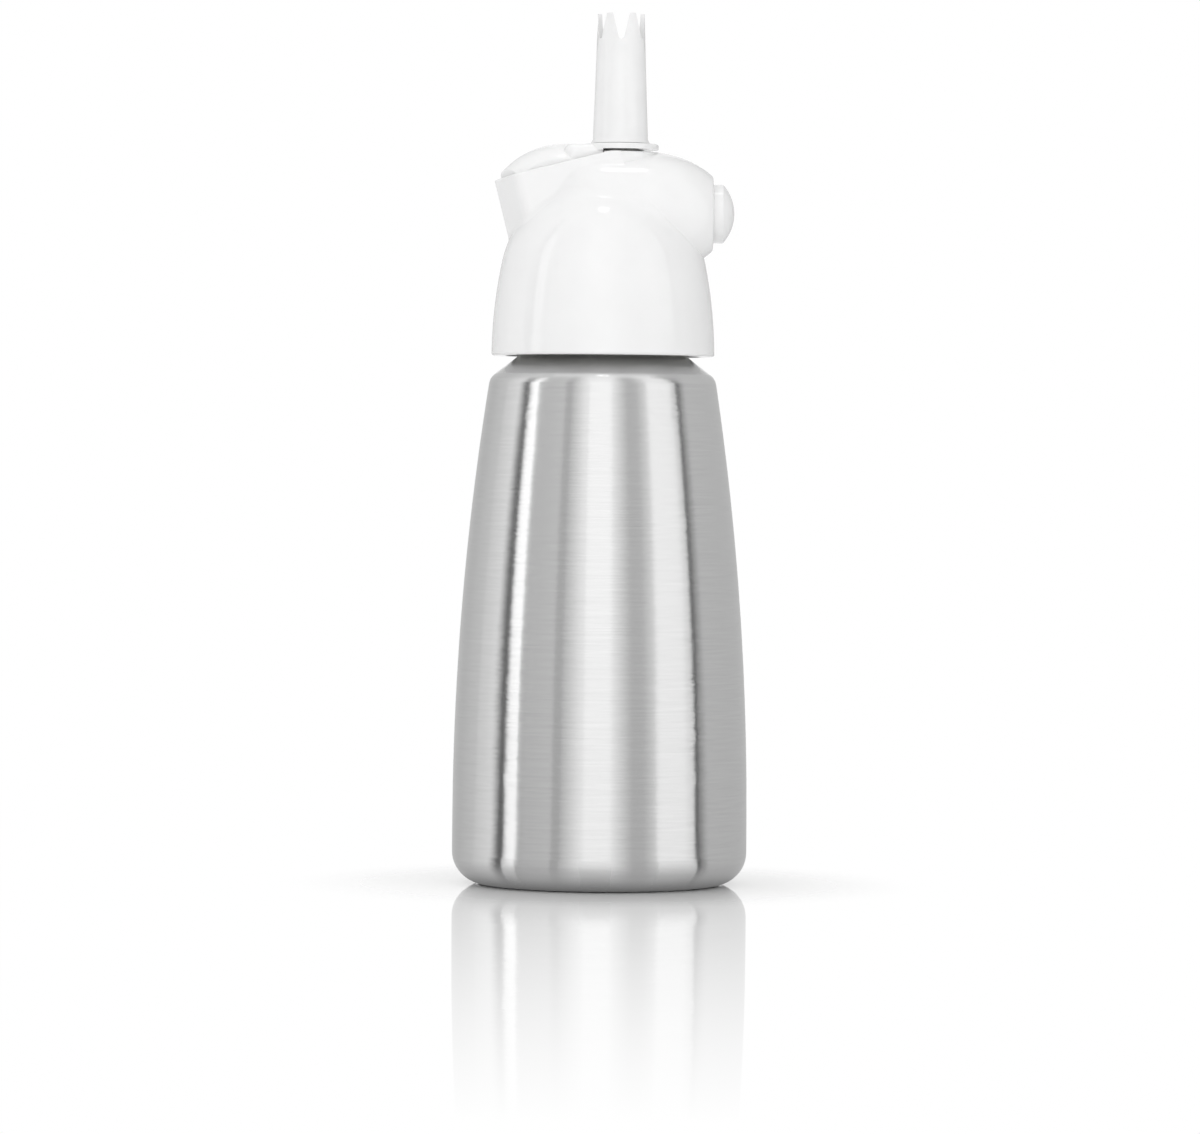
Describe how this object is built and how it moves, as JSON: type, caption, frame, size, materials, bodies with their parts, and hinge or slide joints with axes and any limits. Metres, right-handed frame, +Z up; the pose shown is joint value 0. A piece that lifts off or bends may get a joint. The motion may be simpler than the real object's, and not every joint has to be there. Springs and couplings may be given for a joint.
{
  "type": "cream whipper",
  "caption": "Cream whipper with a barrelled brushed bottle, a white screw-on head, a thumb lever that lifts the toothed nozzle's valve, a sprung vent button and a threaded gas nipple.",
  "frame": {"origin": "centre of the bottle's base, on the standing surface", "axes": "+Z up, -Y the front as pictured, +X towards the vent button"},
  "size_m": [0.0724, 0.0724, 0.2135],
  "materials": {
    "bottle_metal": "fine brushed rings, satin, clear lacquered",
    "head_plastic": "moulded white plastic, smooth gloss",
    "lever_plastic": "moulded white plastic, smooth gloss",
    "nozzle_plastic": "moulded white plastic, soft gloss",
    "button_plastic": "moulded white plastic, smooth gloss",
    "insert_plastic": "moulded, thread left as moulded",
    "valve_plastic": "moulded, food-grade, fine satin",
    "seal_rubber": "silicone, satin",
    "spring_steel": "drawn wire, bright",
    "pin_steel": "ground",
    "nipple_chrome": "turned and plated",
    "vent_brass": "turned"
  },
  "bodies": {
    "bottle": {"bottle": "bottle_metal"},
    "head": {"head_shell": "head_plastic", "neck_ring": "insert_plastic", "head_gasket": "seal_rubber", "valve_body": "valve_plastic", "valve_body_seal": "seal_rubber", "valve_seat": "seal_rubber", "stem_seal": "seal_rubber", "valve_nut": "valve_plastic", "valve_spring": "spring_steel", "lever_pin": "pin_steel", "charger_nipple": "nipple_chrome", "piercing_pin": "pin_steel", "charger_gasket": "seal_rubber", "check_valve": "seal_rubber", "vent_bush": "vent_brass", "vent_bush_seal": "seal_rubber", "vent_spring": "spring_steel"},
    "lever": {"dispensing_lever": "lever_plastic"},
    "stem": {"valve_stem": "valve_plastic", "nozzle": "nozzle_plastic"},
    "vent": {"vent_button": "button_plastic", "vent_stem": "pin_steel", "vent_seal": "seal_rubber"}
  },
  "joints": [
    {"name": "head_lift", "type": "slide", "parent": "bottle", "child": "head", "axis": [0, 0, 1], "range_m": [0, 0.06]},
    {"name": "lever_press", "type": "hinge", "parent": "head", "child": "lever", "pos_m": [-0.011, 0, 0.1705], "axis": [0, -1, 0], "range_deg": [0, 5]},
    {"name": "stem_lift", "type": "slide", "parent": "head", "child": "stem", "axis": [0, 0, 1], "range_m": [0, 0.00205], "stiffness_N_per_m": 2000, "springref_m": -0.003, "deforming": ["valve_spring"]},
    {"name": "vent_press", "type": "slide", "parent": "head", "child": "vent", "axis": [-1, 0, 0], "range_m": [0, 0.0015], "stiffness_N_per_m": 1500, "springref_m": -0.002, "deforming": ["vent_spring"]}
  ],
  "couplings": [
    {"joint": "lever_press", "follows": "stem_lift", "rad_per_m": 42.5}
  ]
}
